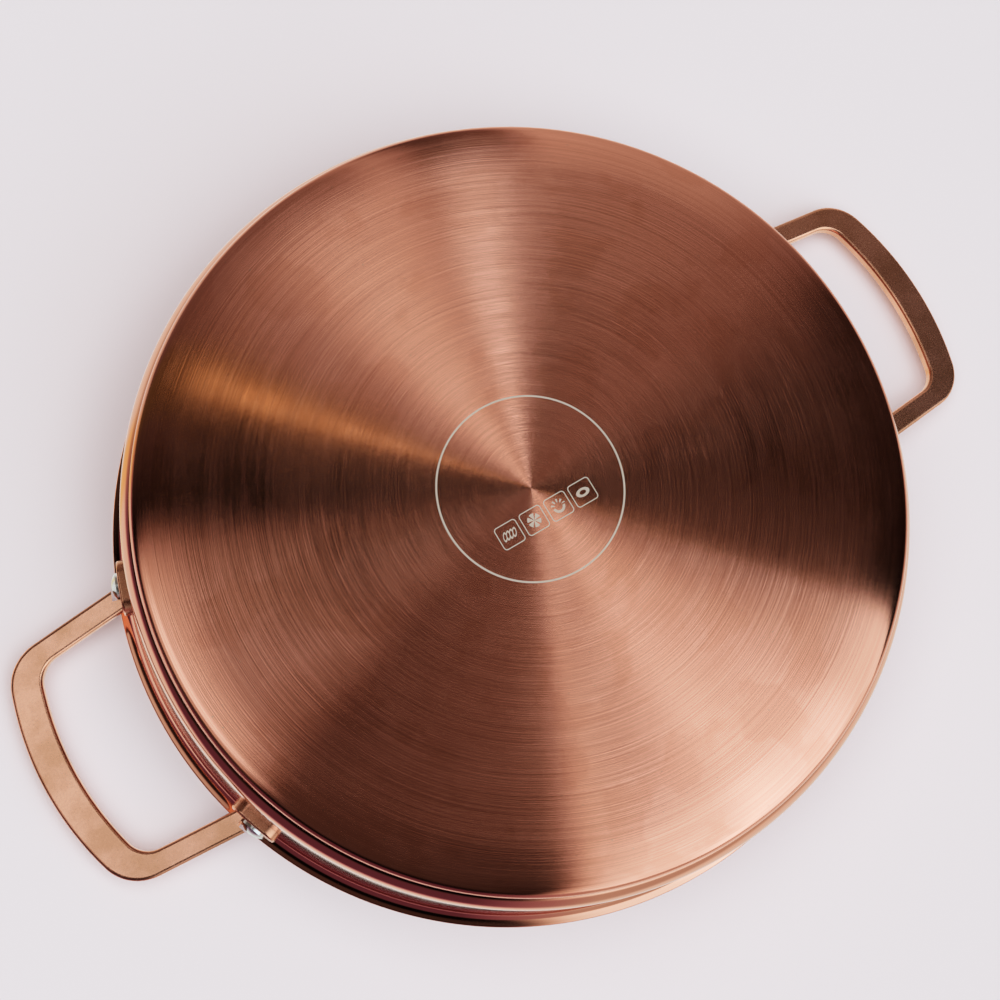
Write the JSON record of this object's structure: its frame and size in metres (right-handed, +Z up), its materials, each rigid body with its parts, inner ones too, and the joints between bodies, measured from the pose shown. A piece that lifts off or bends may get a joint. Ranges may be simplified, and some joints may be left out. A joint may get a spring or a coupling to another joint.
{
  "type": "two-handled pan",
  "caption": "Low round pan with a capsule base, a flared pouring rim and a loop handle riveted on each side, copper coloured.",
  "frame": {"origin": "centre of the underside of the base", "axes": "+Z up out of the pan's mouth, +X through the middle of the right-hand handle, +Y towards the back"},
  "size_m": [0.366, 0.2802, 0.058],
  "materials": {
    "body_steel": "polished stainless steel with a copper-coloured coating outside, brushed inside",
    "base_steel": "spun satin, copper-coloured coating",
    "core_aluminium": "as rolled",
    "handle_steel": "satin, copper-coloured coating",
    "rivet_steel": "polished stainless steel"
  },
  "bodies": {
    "root": {"pan_body": "body_steel", "base_cap": "base_steel", "base_core": "core_aluminium", "handle_right": "handle_steel", "handle_left": "handle_steel", "rivet_right_back": "rivet_steel", "rivet_right_front": "rivet_steel", "rivet_left_back": "rivet_steel", "rivet_left_front": "rivet_steel"}
  },
  "joints": []
}
